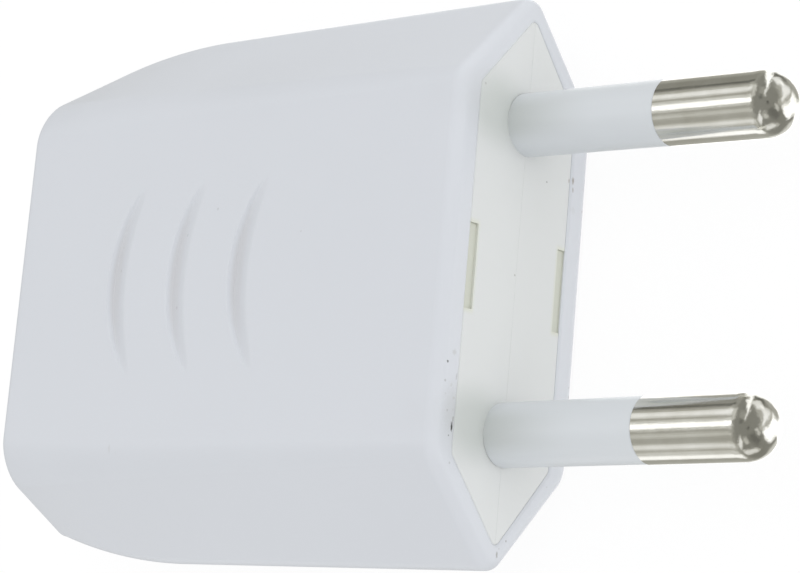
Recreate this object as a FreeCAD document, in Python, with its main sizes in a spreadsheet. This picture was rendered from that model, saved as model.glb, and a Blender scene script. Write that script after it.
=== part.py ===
import FreeCAD, Part
import math
import os
import Sketcher

# Flat two-pole travel adapter head.
# X runs along the pins towards their tips, Y from pin to pin, Z is up from the flat back.
# The origin is the middle of the engagement face, which the pins stand out of.

DRIVING_SIZES = {
    # outer shell
    "body_length": 39.5,
    "mouth_half_width": 18.3,
    "shoulder_half_width": 18.65,
    "rear_half_width": 16.65,
    "mouth_flat_half": 11.5,
    "rear_flat_half": 12.6,
    "half_thickness": 6.6,
    "shoulder_at": 27.0,
    "mouth_corner_radius": 1.8,
    "rear_corner_radius": 4.0,
    "apex_radius": 1.3,
    "rim_round": 0.8,
    "rear_round": 0.7,
    "face_skim": 0.01,
    # walls of the shell and its cavity
    "side_wall": 1.88,
    "face_wall": 1.95,
    "rear_wall": 2.0,
    "cavity_flat_inset": 0.2,
    "cavity_corner_radius": 0.5,
    "cavity_taper": 1.6,
    # grip arcs
    "arc_first_at": 17.9,
    "arc_spacing": 5.9,
    "arc_radius": 9.5,
    "arc_depth": 0.42,
    "arc_width": 1.4,
    "arc_lip": 0.17,
    "arc_half_angle": 39.0,
    # blade slots of the socket end
    "blade_spacing": 12.7,
    "blade_slot_width": 2.3,
    "blade_slot_height": 7.0,
    "blade_slot_corner": 0.4,
    # snap fit between shell and carriers
    "snap_width": 5.2,
    "snap_depth": 0.75,
    "snap_reach": 4.6,
    "snap_set_back": 0.22,
    "snap_lead": 0.2,
    "snap_root": 0.3,
    "snap_clearance": 0.1,
    # carriers
    "fit_clearance": 0.06,
    "carrier_end_gap": 0.2,
    # pins and sleeves
    "pin_radius": 2.0,
    "pin_length": 19.0,
    "pin_pitch": 19.2,
    "pin_toe": 0.45,
    "pin_tip_flat": 0.12,
    "neck_radius": 1.5,
    "sleeve_length": 10.6,
    "sleeve_step": 0.035,
    "sleeve_root": 2.0,
    "sleeve_root_radius": 1.78,
    "sleeve_stand_off": 0.06,
    "sleeve_sink": 0.1,
    "moulded_gap": 0.01,
    "collar_radius": 2.6,
    "collar_length": 1.5,
    "shank_radius": 1.8,
    "shank_end": 11.9,
    "tail_radius": 1.1,
    "tail_head_radius": 1.45,
    "tail_head_length": 0.8,
    "tail_head_round": 0.48,
    # contacts
    "strip_thickness": 0.5,
    "strip_half_height": 2.6,
    "strip_bend_radius": 0.6,
    "contact_gap": 0.12,
    "contact_inner_at": 4.8,
    "contact_end_at": 36.4,
    "leaf_grip_at": 33.0,
    "leaf_grip_half": 0.6,
    "leaf_flare": 1.0,
    "leaf_lead": 1.0,
    "leaf_turn_at": 24.0,
    "leaf_open": 0.8,
    "leg_end_at": 19.0,
    "pocket_clearance": 0.25,
}


class Size:
    """A length worked out from the sheet: its value, and the expression that keeps it true."""

    def __init__(self, value, text):
        self.value = value
        self.text = text

    def __add__(self, other):
        other = as_size(other)
        return Size(self.value + other.value, f"({self.text} + {other.text})")

    def __sub__(self, other):
        other = as_size(other)
        return Size(self.value - other.value, f"({self.text} - {other.text})")

    def __mul__(self, factor):
        return Size(self.value * factor, f"({self.text} * {factor})")

    def __truediv__(self, other):
        other = as_size(other)
        return Size(self.value / other.value, f"({self.text} / {other.text})")

    def __neg__(self):
        return Size(-self.value, f"(0 - {self.text})")


def as_size(number):
    return number if isinstance(number, Size) else Size(float(number), str(float(number)))


doc = FreeCAD.newDocument("travel_adapter")
sheet = doc.addObject("Spreadsheet::Sheet", "sizes")
for row, (alias, number) in enumerate(DRIVING_SIZES.items(), start=1):
    sheet.set(f"A{row}", alias)
    sheet.set(f"B{row}", str(number))
    sheet.setAlias(f"B{row}", alias)
doc.recompute()


def size(alias):
    return Size(DRIVING_SIZES[alias], f"sizes.{alias}")


ZERO = as_size(0.0)
tilt = Size(
    math.degrees(math.atan(DRIVING_SIZES["pin_toe"] / DRIVING_SIZES["pin_length"])),
    "atan(sizes.pin_toe / sizes.pin_length)",
)


def new_body(label):
    body = doc.addObject("PartDesign::Body", label)
    body.Label = label
    return body


def new_sketch(body, name, plane, along=ZERO):
    """A sketch on one of the body's own planes, moved along that plane's normal."""
    sketch = body.newObject("Sketcher::SketchObject", f"{body.Label}_{name}")
    origin_plane = next(item for item in body.Origin.OriginFeatures if item.Role == plane)
    sketch.AttachmentSupport = [(origin_plane, "")]
    sketch.MapMode = "FlatFace"
    sketch.AttachmentOffset = FreeCAD.Placement(FreeCAD.Vector(0, 0, along.value), FreeCAD.Rotation())
    sketch.setExpression("AttachmentOffset.Base.z", along.text)
    return sketch


def bind(sketch, constraint, length):
    index = sketch.addConstraint(constraint)
    sketch.setExpression(f"Constraints[{index}]", length.text)


def draw_outline(sketch, corners, closed=True):
    """Straight runs through corners (across, up, radius), with tangent arcs where a radius is given."""
    count = len(corners)
    spots = [FreeCAD.Vector(corner[0].value, corner[1].value, 0) for corner in corners]
    entries = []
    for index, (across, up, radius) in enumerate(corners):
        spot = spots[index]
        inner = closed or 0 < index < count - 1
        if radius is None or not inner:
            entries.append((spot, spot, None))
            continue
        back = (spots[index - 1] - spot).normalize()
        ahead = (spots[(index + 1) % count] - spot).normalize()
        half = back.getAngle(ahead) / 2
        reach = radius.value / math.tan(half)
        centre = spot + (back + ahead).normalize() * (radius.value / math.sin(half))
        entries.append((spot + back * reach, spot + ahead * reach, centre))
    runs = []
    for index in range(count if closed else count - 1):
        start = entries[index][1]
        end = entries[(index + 1) % count][0]
        runs.append(sketch.addGeometry(Part.LineSegment(start, end)))
    for index, (across, up, radius) in enumerate(corners):
        before = runs[index - 1] if closed or index > 0 else None
        after = runs[index] if closed or index < count - 1 else None
        start, end, centre = entries[index]
        if centre is None:
            if before is not None and after is not None:
                sketch.addConstraint(Sketcher.Constraint("Coincident", before, 2, after, 1))
            holder, place = (after, 1) if after is not None else (before, 2)
        else:
            middle = centre + (spots[index] - centre).normalize() * radius.value
            arc = sketch.addGeometry(Part.Arc(start, middle, end))
            turns_left = (spots[index] - spots[index - 1]).cross(
                spots[(index + 1) % count] - spots[index]
            ).z > 0
            first, last = (1, 2) if turns_left else (2, 1)
            sketch.addConstraint(Sketcher.Constraint("Tangent", before, 2, arc, first))
            sketch.addConstraint(Sketcher.Constraint("Tangent", after, 1, arc, last))
            bind(sketch, Sketcher.Constraint("Radius", arc, radius.value), radius)
            holder = sketch.addGeometry(Part.Point(spots[index]), True)
            place = 1
            sketch.addConstraint(Sketcher.Constraint("PointOnObject", holder, 1, before))
            sketch.addConstraint(Sketcher.Constraint("PointOnObject", holder, 1, after))
        bind(sketch, Sketcher.Constraint("DistanceX", holder, place, across.value), across)
        bind(sketch, Sketcher.Constraint("DistanceY", holder, place, up.value), up)
    return sketch


def loft(body, name, sections, kind="PartDesign::AdditiveLoft", ruled=False):
    feature = body.newObject(kind, f"{body.Label}_{name}")
    feature.Profile = sections[0]
    feature.Sections = sections[1:]
    feature.Ruled = ruled
    return feature


def both_ways(body, name, sketch, length, kind):
    """A pad or pocket that reaches half its length to each side of its sketch."""
    feature = body.newObject(kind, f"{body.Label}_{name}")
    feature.Profile = sketch
    feature.SideType = "Symmetric"
    feature.Length = length.value
    feature.setExpression("Length", length.text)
    return feature


def turn(body, name, sketch, kind="PartDesign::Revolution"):
    """A full turn of a sketch about its own horizontal axis."""
    feature = body.newObject(kind, f"{body.Label}_{name}")
    feature.Profile = sketch
    feature.ReferenceAxis = (sketch, ["H_Axis"])
    feature.Angle = 360
    return feature


def hexagon(half_width, flat_half, half_thickness, corner_radius, apex_radius):
    """The six-sided section: two flats, and four slopes that meet at a point on each side."""
    return [
        (half_width, ZERO, apex_radius),
        (flat_half, half_thickness, corner_radius),
        (-flat_half, half_thickness, corner_radius),
        (-half_width, ZERO, apex_radius),
        (-flat_half, -half_thickness, corner_radius),
        (flat_half, -half_thickness, corner_radius),
    ]


def blend(first, last, share):
    return first * (1 - share) + last * share


# Outer shell: one moulding, open at the pins and closed by a wall with two blade slots.
def make_outer_shell(label):
    body = new_body(label)
    length = size("body_length")
    shoulder = size("shoulder_at")
    sections = []
    steps = 3
    stations = [(f"ahead_{step}", step / steps, 0.0) for step in range(steps + 1)]
    stations += [(f"behind_{step}", 1.0, step / steps) for step in range(1, steps + 1)]
    for name, ahead, behind in stations:
        at = shoulder * ahead + (length - shoulder) * behind
        grown = blend(size("mouth_half_width"), size("shoulder_half_width"), ahead)
        half_width = grown - (size("shoulder_half_width") - size("rear_half_width")) * behind ** 2
        share = at.value / length.value
        corners = hexagon(
            half_width,
            blend(size("mouth_flat_half"), size("rear_flat_half"), share),
            size("half_thickness") + size("face_skim"),
            blend(size("mouth_corner_radius"), size("rear_corner_radius"), share),
            size("apex_radius"),
        )
        sections.append(draw_outline(new_sketch(body, f"section_{name}", "YZ_Plane", -at), corners))
    loft(body, "outside", sections)
    skim_faces(body)
    doc.recompute()
    round_end(body, "rim", 0.0, size("rim_round"))
    round_end(body, "rear", -length.value, size("rear_round"))
    cut_grip_arcs(body)
    cut_cavity(body)
    cut_blade_slots(body)
    add_snap_catches(body)
    return body


def skim_faces(body):
    """Brings the two large faces down to true planes, so that the part lies flat."""
    length = size("body_length")
    for name, side in (("upper", 1), ("lower", -1)):
        face = size("half_thickness") * side
        above = size("half_thickness") * (side * 2)
        waste = draw_outline(
            new_sketch(body, f"skim_{name}", "YZ_Plane"),
            [
                (length, face, None),
                (length, above, None),
                (-length, above, None),
                (-length, face, None),
            ],
        )
        both_ways(body, f"skim_{name}_cut", waste, length * 4, "PartDesign::Pocket")


def round_end(body, name, at, radius):
    """A round along every edge that lies in the end plane at this place on X."""
    solid = body.Tip
    chosen = []
    for number, edge in enumerate(solid.Shape.Edges, start=1):
        ends = [edge.BoundBox.XMin, edge.BoundBox.XMax]
        if all(abs(end - at) < 1e-4 for end in ends):
            chosen.append(f"Edge{number}")
    feature = body.newObject("PartDesign::Fillet", f"{body.Label}_{name}_round")
    feature.Base = (solid, chosen)
    feature.Radius = radius.value
    feature.setExpression("Radius", radius.text)
    doc.recompute()


def draw_axis(sketch, foot, head):
    """A construction line to turn a sketch about, as the first piece of its geometry."""
    ends = [FreeCAD.Vector(across.value, up.value, 0) for across, up in (foot, head)]
    axis = sketch.addGeometry(Part.LineSegment(*ends), True)
    for place, (across, up) in enumerate((foot, head), start=1):
        bind(sketch, Sketcher.Constraint("DistanceX", axis, place, across.value), across)
        bind(sketch, Sketcher.Constraint("DistanceY", axis, place, up.value), up)


def cut_grip_arcs(body):
    """Three crescents in each large face, each turned by a leaning ring that dips into the face."""
    radius = size("arc_radius")
    depth = size("arc_depth")
    width = size("arc_width")
    lip = size("arc_lip")
    half_angle = math.radians(DRIVING_SIZES["arc_half_angle"])
    lean = math.asin(depth.value / (radius.value * (1 - math.cos(half_angle))))
    rise = "(sizes.arc_radius * (1 - cos(sizes.arc_half_angle * 1 deg)))"
    lean_run = Size(
        radius.value * math.tan(lean),
        f"({radius.text} * tan(asin(sizes.arc_depth / {rise})))",
    )
    for face, side in (("upper", 1), ("lower", -1)):
        surface = size("half_thickness") * side
        for number in range(3):
            deepest = -(size("arc_first_at") + size("arc_spacing") * number)
            sketch = new_sketch(body, f"arc_{face}_{number + 1}", "XZ_Plane")
            foot = (deepest + radius, surface)
            head = (deepest + radius - lean_run, surface + radius * side)
            draw_axis(sketch, foot, head)
            draw_outline(
                sketch,
                [
                    (deepest + lip, surface - depth * side, None),
                    (deepest - lip, surface + depth * side, None),
                    (deepest + width * 2 - lip, surface + depth * side, None),
                ],
            )
            groove = body.newObject("PartDesign::Groove", f"{body.Label}_arc_{face}_{number + 1}_cut")
            groove.Profile = sketch
            groove.ReferenceAxis = (sketch, ["Axis0"])
            groove.Angle = 360


def cavity_half_thickness():
    return size("half_thickness") - size("face_wall")


def cavity_sections(body, name, inset, rear):
    """Sections of the space inside the shell, drawn in by a clearance, from its mouth to its rear."""
    sections = []
    stations = [(ZERO, ZERO), (size("shoulder_at"), ZERO), (rear, size("cavity_taper"))]
    for number, (at, narrowing) in enumerate(stations):
        corners = hexagon(
            size("mouth_half_width") - size("side_wall") - inset - narrowing,
            size("mouth_flat_half") - size("cavity_flat_inset") - inset,
            cavity_half_thickness() - inset,
            size("cavity_corner_radius"),
            size("cavity_corner_radius"),
        )
        sections.append(draw_outline(new_sketch(body, f"{name}_{number}", "YZ_Plane", -at), corners))
    return sections


def cut_cavity(body):
    floor = size("body_length") - size("rear_wall")
    sections = cavity_sections(body, "cavity", ZERO, floor)
    loft(body, "cavity", sections, "PartDesign::SubtractiveLoft", ruled=True)


def cut_blade_slots(body):
    wall_middle = size("body_length") - size("rear_wall") / 2
    for name, side in (("right", 1), ("left", -1)):
        middle = size("blade_spacing") * (side / 2)
        across = size("blade_slot_width") / 2
        up = size("blade_slot_height") / 2
        corner = size("blade_slot_corner")
        slot = draw_outline(
            new_sketch(body, f"slot_{name}", "YZ_Plane", -wall_middle),
            [
                (middle + across, up, corner),
                (middle - across, up, corner),
                (middle - across, -up, corner),
                (middle + across, -up, corner),
            ],
        )
        both_ways(body, f"slot_{name}_cut", slot, size("rear_wall") * 2, "PartDesign::Pocket")


def add_snap_catches(body):
    """A key inside each long wall of the mouth. It fills the notch of a carrier up to its lead-in."""
    reach = size("snap_reach") - size("snap_clearance")
    wall = cavity_half_thickness()
    crest = wall - size("snap_depth") + size("snap_clearance")
    root = wall + size("snap_root")
    front = size("snap_set_back")
    lead = size("snap_lead")
    width = size("snap_width") - size("snap_clearance") * 2
    for name, face in (("upper", 1), ("lower", -1)):
        key = draw_outline(
            new_sketch(body, f"catch_{name}", "XZ_Plane"),
            [
                (-reach, root * face, None),
                (-reach, crest * face, None),
                (-(front + lead), crest * face, None),
                (-front, (crest + lead) * face, None),
                (-front, root * face, None),
            ],
        )
        both_ways(body, f"catch_{name}_pad", key, width, "PartDesign::Pad")


# Carriers: the two like halves of the insert. They meet on the plane of the pins, hold the pins
# by their collars and leave a space behind them for the contacts.
def make_carrier(label, flipped):
    body = new_body(label)
    inset = size("fit_clearance")
    rear = size("body_length") - size("rear_wall") - size("carrier_end_gap")
    loft(body, "outside", cavity_sections(body, "section", inset, rear), ruled=True)
    cut_other_half(body, rear)
    for name, side in (("right", 1), ("left", -1)):
        cut_pin_seat(body, name, side)
        cut_contact_space(body, name, side, rear)
    cut_snap_notch(body)
    if flipped:
        body.Placement = FreeCAD.Placement(FreeCAD.Vector(), FreeCAD.Rotation(FreeCAD.Vector(1, 0, 0), 180))
    return body


def cut_other_half(body, rear):
    """Everything under the plane of the pins belongs to the other carrier."""
    beyond = size("body_length") + size("rear_wall")
    wide = size("body_length")
    half = draw_outline(
        new_sketch(body, "parting", "YZ_Plane"),
        [
            (wide, ZERO, None),
            (-wide, ZERO, None),
            (-wide, -wide, None),
            (wide, -wide, None),
        ],
    )
    both_ways(body, "parting_cut", half, beyond * 2, "PartDesign::Pocket")


def lay_along_pin(sketch, side):
    """Turns a sketch on the pins' plane so that its own X runs down the middle of one pin."""
    half_pitch = size("pin_pitch") * (side / 2)
    sketch.AttachmentOffset = FreeCAD.Placement(
        FreeCAD.Vector(0, half_pitch.value, 0),
        FreeCAD.Rotation(FreeCAD.Vector(0, 0, -side), tilt.value),
    )
    sketch.setExpression("AttachmentOffset.Base.z", None)
    sketch.setExpression("AttachmentOffset.Base.y", half_pitch.text)
    sketch.setExpression("AttachmentOffset.Rotation.Angle", tilt.text)


def cut_pin_seat(body, name, side):
    """The bed of sleeve root, collar and shank, each with its own clearance.

    Its mouth is let in as wide as the sleeve, so that nothing overhangs the engagement face.
    """
    play = size("fit_clearance")
    sink = size("sleeve_sink")
    mouth = size("pin_radius") - size("sleeve_step") + play
    sleeve = size("sleeve_root_radius") + play
    collar = size("collar_radius") + play
    shank = size("shank_radius") + play
    root = size("sleeve_root")
    collar_end = root + size("collar_length") + play
    sketch = new_sketch(body, f"seat_{name}", "XY_Plane")
    lay_along_pin(sketch, side)
    draw_outline(
        sketch,
        [
            (root, ZERO, None),
            (root, mouth, None),
            (-sink, mouth, None),
            (-sink, sleeve, None),
            (-root + play, sleeve, None),
            (-root + play, collar, None),
            (-collar_end, collar, None),
            (-collar_end, shank, None),
            (-size("shank_end") - root, shank, None),
            (-size("shank_end") - root, ZERO, None),
        ],
    )
    turn(body, f"seat_{name}_cut", sketch, "PartDesign::Groove")


def cut_contact_space(body, name, side, rear):
    """A pocket that follows the contact, and a taller one where the blade passes."""
    room = size("pocket_clearance")
    outer = outer_leg_at() + size("strip_thickness") / 2 + room
    inner = size("contact_inner_at") - size("strip_thickness") / 2 - room
    leaf = size("blade_spacing") / 2
    flare = leaf + size("leaf_grip_half") + size("leaf_flare") + size("strip_thickness") + room
    flare_in = leaf - size("leaf_grip_half") - size("leaf_flare") - size("strip_thickness") - room
    front = size("shank_end")
    past_end = rear + size("rear_wall")
    contact = draw_outline(
        new_sketch(body, f"space_{name}", "XY_Plane"),
        [
            (-front, inner * side, None),
            (-front, outer * side, None),
            (-size("leg_end_at") - room, outer * side, None),
            (-size("leaf_turn_at"), (flare + room) * side, None),
            (-past_end, flare * side, None),
            (-past_end, flare_in * side, None),
            (-size("leaf_turn_at"), inner * side, None),
        ],
    )
    height = size("strip_half_height") + room
    both_ways(body, f"space_{name}_cut", contact, height * 2, "PartDesign::Pocket")
    half = size("blade_slot_width") / 2
    blade = draw_outline(
        new_sketch(body, f"blade_way_{name}", "XY_Plane"),
        [
            (-size("leg_end_at"), (leaf - half) * side, None),
            (-size("leg_end_at"), (leaf + half) * side, None),
            (-past_end, (leaf + half) * side, None),
            (-past_end, (leaf - half) * side, None),
        ],
    )
    both_ways(body, f"blade_way_{name}_cut", blade, size("blade_slot_height"), "PartDesign::Pocket")


def cut_snap_notch(body):
    """The notch in the long edge that the catch of the shell drops into, open to the face."""
    top = cavity_half_thickness()
    notch = draw_outline(
        new_sketch(body, "notch", "XZ_Plane"),
        [
            (size("snap_reach"), top - size("snap_depth"), None),
            (size("snap_reach"), top + size("snap_depth"), None),
            (-size("snap_reach"), top + size("snap_depth"), None),
            (-size("snap_reach"), top - size("snap_depth"), None),
        ],
    )
    both_ways(body, "notch_cut", notch, size("snap_width"), "PartDesign::Pocket")


def set_along_pin(body, side):
    """Places a turned piece on the axis of its pin, which leans towards the other one."""
    half_pitch = size("pin_pitch") * (side / 2)
    body.Placement = FreeCAD.Placement(
        FreeCAD.Vector(0, half_pitch.value, 0),
        FreeCAD.Rotation(FreeCAD.Vector(0, 0, -side), tilt.value),
    )
    body.setExpression("Placement.Base.y", half_pitch.text)
    body.setExpression("Placement.Rotation.Angle", tilt.text)


# Pins: each turned from one brass bar, with a domed tip, a neck under its sleeve, a collar, and a
# tail that is peened over behind the contact.
def make_pin(label, side):
    body = new_body(label)
    tip = size("pin_length")
    root = size("sleeve_root") + size("moulded_gap")
    collar_end = size("sleeve_root") + size("collar_length")
    seat = size("shank_end")
    back_of_strip = seat + size("contact_gap") * 2 + size("strip_thickness")
    tail_end = back_of_strip + size("tail_head_length")
    sketch = draw_outline(
        new_sketch(body, "half_section", "XY_Plane"),
        [
            (tip, ZERO, None),
            (tip, size("pin_radius"), size("pin_radius") - size("pin_tip_flat")),
            (size("sleeve_length") + size("moulded_gap"), size("pin_radius"), None),
            (size("sleeve_length") + size("moulded_gap"), size("neck_radius"), None),
            (-root, size("neck_radius"), None),
            (-root, size("collar_radius"), None),
            (-collar_end, size("collar_radius"), None),
            (-collar_end, size("shank_radius"), None),
            (-seat, size("shank_radius"), None),
            (-seat, size("tail_radius"), None),
            (-back_of_strip, size("tail_radius"), None),
            (-back_of_strip, size("tail_head_radius"), None),
            (-tail_end, size("tail_head_radius"), size("tail_head_round")),
            (-tail_end, ZERO, None),
        ],
    )
    turn(body, "turned", sketch)
    set_along_pin(body, side)
    return body


# Sleeves: insulation moulded round the neck of each pin. A shoulder stands on the face of the
# carriers, and a thinner root goes down between them to the collar of the pin.
def make_sleeve(label, side):
    body = new_body(label)
    outer = size("pin_radius") - size("sleeve_step")
    bore = size("neck_radius") + size("moulded_gap")
    sketch = draw_outline(
        new_sketch(body, "half_section", "XY_Plane"),
        [
            (size("sleeve_length"), bore, None),
            (size("sleeve_length"), outer, None),
            (size("sleeve_stand_off"), outer, None),
            (size("sleeve_stand_off"), size("sleeve_root_radius"), None),
            (-size("sleeve_root"), size("sleeve_root_radius"), None),
            (-size("sleeve_root"), bore, None),
        ],
    )
    turn(body, "turned", sketch)
    set_along_pin(body, side)
    return body


def outer_leg_at():
    """Middle of the contact's outer leg: clear of the peened tail of its pin."""
    drift = size("pin_toe") / size("pin_length")
    lean_out = Size(drift.value * DRIVING_SIZES["shank_end"], f"({drift.text} * sizes.shank_end)")
    clear = size("tail_head_radius") + size("contact_gap") * 2 + size("strip_thickness") / 2
    return size("pin_pitch") / 2 + lean_out + clear


def tail_at():
    """Distance of the pin's axis from the middle plane, at the eye of its contact."""
    return outer_leg_at() - size("tail_head_radius") - size("contact_gap") * 2 - size("strip_thickness") / 2


# Contacts: one spring strip each, folded round its eye, with two leaves that grip the blade.
def make_contact(label, flipped):
    body = new_body(label)
    half_strip = size("strip_thickness") / 2
    eye = size("shank_end") + size("contact_gap") + half_strip
    middle = size("blade_spacing") / 2
    grip = size("leaf_grip_half") + half_strip
    end = size("contact_end_at")
    flare_at = end - size("leaf_lead")
    bend = size("strip_bend_radius")
    route = [
        (-end, middle + grip + size("leaf_flare"), None),
        (-flare_at, middle + grip + size("leaf_flare"), bend),
        (-size("leaf_grip_at"), middle + grip, bend),
        (-size("leaf_turn_at"), middle + grip + size("leaf_open"), bend),
        (-size("leg_end_at"), outer_leg_at(), bend),
        (-eye, outer_leg_at(), bend),
        (-eye, size("contact_inner_at"), bend),
        (-size("leaf_turn_at"), size("contact_inner_at"), bend),
        (-size("leaf_grip_at"), middle - grip, bend),
        (-flare_at, middle - grip - size("leaf_flare"), bend),
        (-end, middle - grip - size("leaf_flare"), None),
    ]
    path = draw_outline(new_sketch(body, "route", "XY_Plane"), route, closed=False)
    start = route[0][1]
    tall = size("strip_half_height")
    strip = draw_outline(
        new_sketch(body, "strip", "YZ_Plane", -end),
        [
            (start + half_strip, tall, None),
            (start - half_strip, tall, None),
            (start - half_strip, -tall, None),
            (start + half_strip, -tall, None),
        ],
    )
    pipe = body.newObject("PartDesign::AdditivePipe", f"{label}_folded")
    pipe.Profile = strip
    pipe.Spine = (path, [])
    hole = new_sketch(body, "eye", "YZ_Plane", -eye)
    eye_radius = size("tail_radius") + size("contact_gap")
    centre = FreeCAD.Vector(tail_at().value, 0, 0)
    rim = hole.addGeometry(Part.Circle(centre, FreeCAD.Vector(0, 0, 1), eye_radius.value))
    bind(hole, Sketcher.Constraint("DistanceX", rim, 3, tail_at().value), tail_at())
    bind(hole, Sketcher.Constraint("DistanceY", rim, 3, 0.0), ZERO)
    bind(hole, Sketcher.Constraint("Radius", rim, eye_radius.value), eye_radius)
    both_ways(body, "eye_cut", hole, size("strip_thickness") * 2, "PartDesign::Pocket")
    if flipped:
        body.Placement = FreeCAD.Placement(FreeCAD.Vector(), FreeCAD.Rotation(FreeCAD.Vector(1, 0, 0), 180))
    return body


pieces = [
    make_outer_shell("outer_shell"),
    make_carrier("upper_carrier", flipped=False),
    make_carrier("lower_carrier", flipped=True),
    make_pin("right_pin", 1),
    make_pin("left_pin", -1),
    make_sleeve("right_sleeve", 1),
    make_sleeve("left_sleeve", -1),
    make_contact("right_contact", flipped=False),
    make_contact("left_contact", flipped=True),
]
doc.recompute()

for item in doc.Objects:
    if "Invalid" in item.State or "Error" in item.State:
        raise RuntimeError(f"{item.Label} could not be built: {item.State}")
for piece in pieces:
    if piece.Shape.isNull() or not piece.Shape.isValid() or not piece.Shape.Solids:
        raise RuntimeError(f"{piece.Label} has no valid solid")

os.makedirs("parts", exist_ok=True)
for piece in pieces:
    piece.Shape.exportStep(f"parts/{piece.Label}.step")
    print(piece.Label, len(piece.Shape.Solids), round(piece.Shape.Volume, 2), piece.Shape.BoundBox)
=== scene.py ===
import math

import bmesh
import bpy
from mathutils import Matrix, Vector


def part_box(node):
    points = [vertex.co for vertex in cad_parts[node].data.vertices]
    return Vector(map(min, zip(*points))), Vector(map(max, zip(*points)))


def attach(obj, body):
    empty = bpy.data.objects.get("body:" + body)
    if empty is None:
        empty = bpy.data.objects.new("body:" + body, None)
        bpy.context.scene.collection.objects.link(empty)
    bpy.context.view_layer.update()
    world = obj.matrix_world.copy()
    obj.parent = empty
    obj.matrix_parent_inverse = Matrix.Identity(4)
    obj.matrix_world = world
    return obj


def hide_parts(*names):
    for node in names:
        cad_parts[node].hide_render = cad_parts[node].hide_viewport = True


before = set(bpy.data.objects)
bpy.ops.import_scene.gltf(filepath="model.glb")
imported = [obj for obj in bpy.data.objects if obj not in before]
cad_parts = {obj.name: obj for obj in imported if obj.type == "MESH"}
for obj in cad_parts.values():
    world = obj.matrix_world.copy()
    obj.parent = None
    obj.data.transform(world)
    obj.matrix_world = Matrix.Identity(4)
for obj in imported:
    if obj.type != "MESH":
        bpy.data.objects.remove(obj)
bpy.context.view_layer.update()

# Camera: looks down on the large face from the front left, close enough for some perspective.
# Its place and its three directions were worked out from the two round pins, in metres.
camera_place = Vector((0.0869, -0.0247, 0.1069))
camera_right = Vector((0.7498, 0.08485, -0.6562)).normalized()
camera_back = Vector((0.65986, -0.16902, 0.73213)).normalized()
camera_up = camera_back.cross(camera_right).normalized()
camera_right = camera_up.cross(camera_back)
camera_data = bpy.data.cameras.new("camera")
camera_data.sensor_fit = "HORIZONTAL"
camera_data.sensor_width = 36.0
camera_data.lens = 103.5
camera_data.clip_start = 0.005
camera_data.clip_end = 20.0
camera = bpy.data.objects.new("camera", camera_data)
bpy.context.scene.collection.objects.link(camera)
camera.matrix_world = Matrix(
    (
        (camera_right.x, camera_up.x, camera_back.x, camera_place.x),
        (camera_right.y, camera_up.y, camera_back.y, camera_place.y),
        (camera_right.z, camera_up.z, camera_back.z, camera_place.z),
        (0.0, 0.0, 0.0, 1.0),
    )
)
bpy.context.scene.camera = camera
bpy.context.scene.view_settings.view_transform = "Standard"


# Outer shell: one moulding of white plastic, six-sided in section and drawn in at its rear end.
# Both large faces carry three crescent grips, and the rear wall has two slots for flat blades.
# It is lofted through rounded six-sided rings, in millimetres, and brought to metres at the end.
MILLIMETRE = 0.001
shell_low, shell_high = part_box("outer_shell")
body_length = -shell_low.x / MILLIMETRE
half_thickness = shell_high.z / MILLIMETRE
mouth_half_width = 18.3
shoulder_half_width = 18.65
rear_half_width = 16.65
shoulder_at = 27.0
mouth_flat_half = 11.5
rear_flat_half = 12.6
mouth_corner = 1.8
rear_corner = 4.0
apex_corner = 1.3
least_corner = 0.1
rim_round = 0.8
rear_round = 0.7
lip_width = 0.24
lip_depth = 0.08
side_wall = 1.88
face_wall = 1.95
rear_wall = 2.0
cavity_flat_inset = 0.2
cavity_corner = 0.5
cavity_taper = 1.6
corner_steps = 10
apex_steps = 8
round_steps = 6
lip_steps = 3
touching = 0.001


def start_piece(name):
    """An empty mesh object, active and in edit mode, that is modelled in millimetres."""
    bpy.ops.object.select_all(action="DESELECT")
    piece = bpy.data.objects.new(name, bpy.data.meshes.new(name))
    bpy.context.scene.collection.objects.link(piece)
    bpy.context.view_layer.objects.active = piece
    piece.select_set(True)
    bpy.ops.object.mode_set(mode="EDIT")
    bpy.ops.mesh.select_mode(type="VERT")
    return piece


def make_active(piece):
    bpy.ops.object.select_all(action="DESELECT")
    bpy.context.view_layer.objects.active = piece
    piece.select_set(True)


def pick_vertices(piece, wanted):
    """Selects the vertices whose place and ring number pass a test, and nothing else."""
    bpy.ops.mesh.select_mode(type="VERT")
    bpy.ops.mesh.select_all(action="DESELECT")
    shape = bmesh.from_edit_mesh(piece.data)
    ring = shape.verts.layers.int.get("ring") or shape.verts.layers.int.new("ring")
    for vertex in shape.verts:
        vertex.select = wanted(vertex.co, vertex[ring])
    shape.select_flush_mode()
    bmesh.update_edit_mesh(piece.data)


def last_ring(piece):
    """The number of the newest ring. New vertices have the number 0 until they are counted in."""
    shape = bmesh.from_edit_mesh(piece.data)
    ring = shape.verts.layers.int.get("ring") or shape.verts.layers.int.new("ring")
    return max((vertex[ring] for vertex in shape.verts), default=0)


def pick_edges(piece, wanted):
    """Selects the edges whose two ends pass a test together, and nothing else."""
    bpy.ops.mesh.select_mode(type="EDGE")
    bpy.ops.mesh.select_all(action="DESELECT")
    shape = bmesh.from_edit_mesh(piece.data)
    for edge in shape.edges:
        edge.select = wanted(edge.verts[0].co, edge.verts[1].co)
    shape.select_flush_mode()
    bmesh.update_edit_mesh(piece.data)


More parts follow.
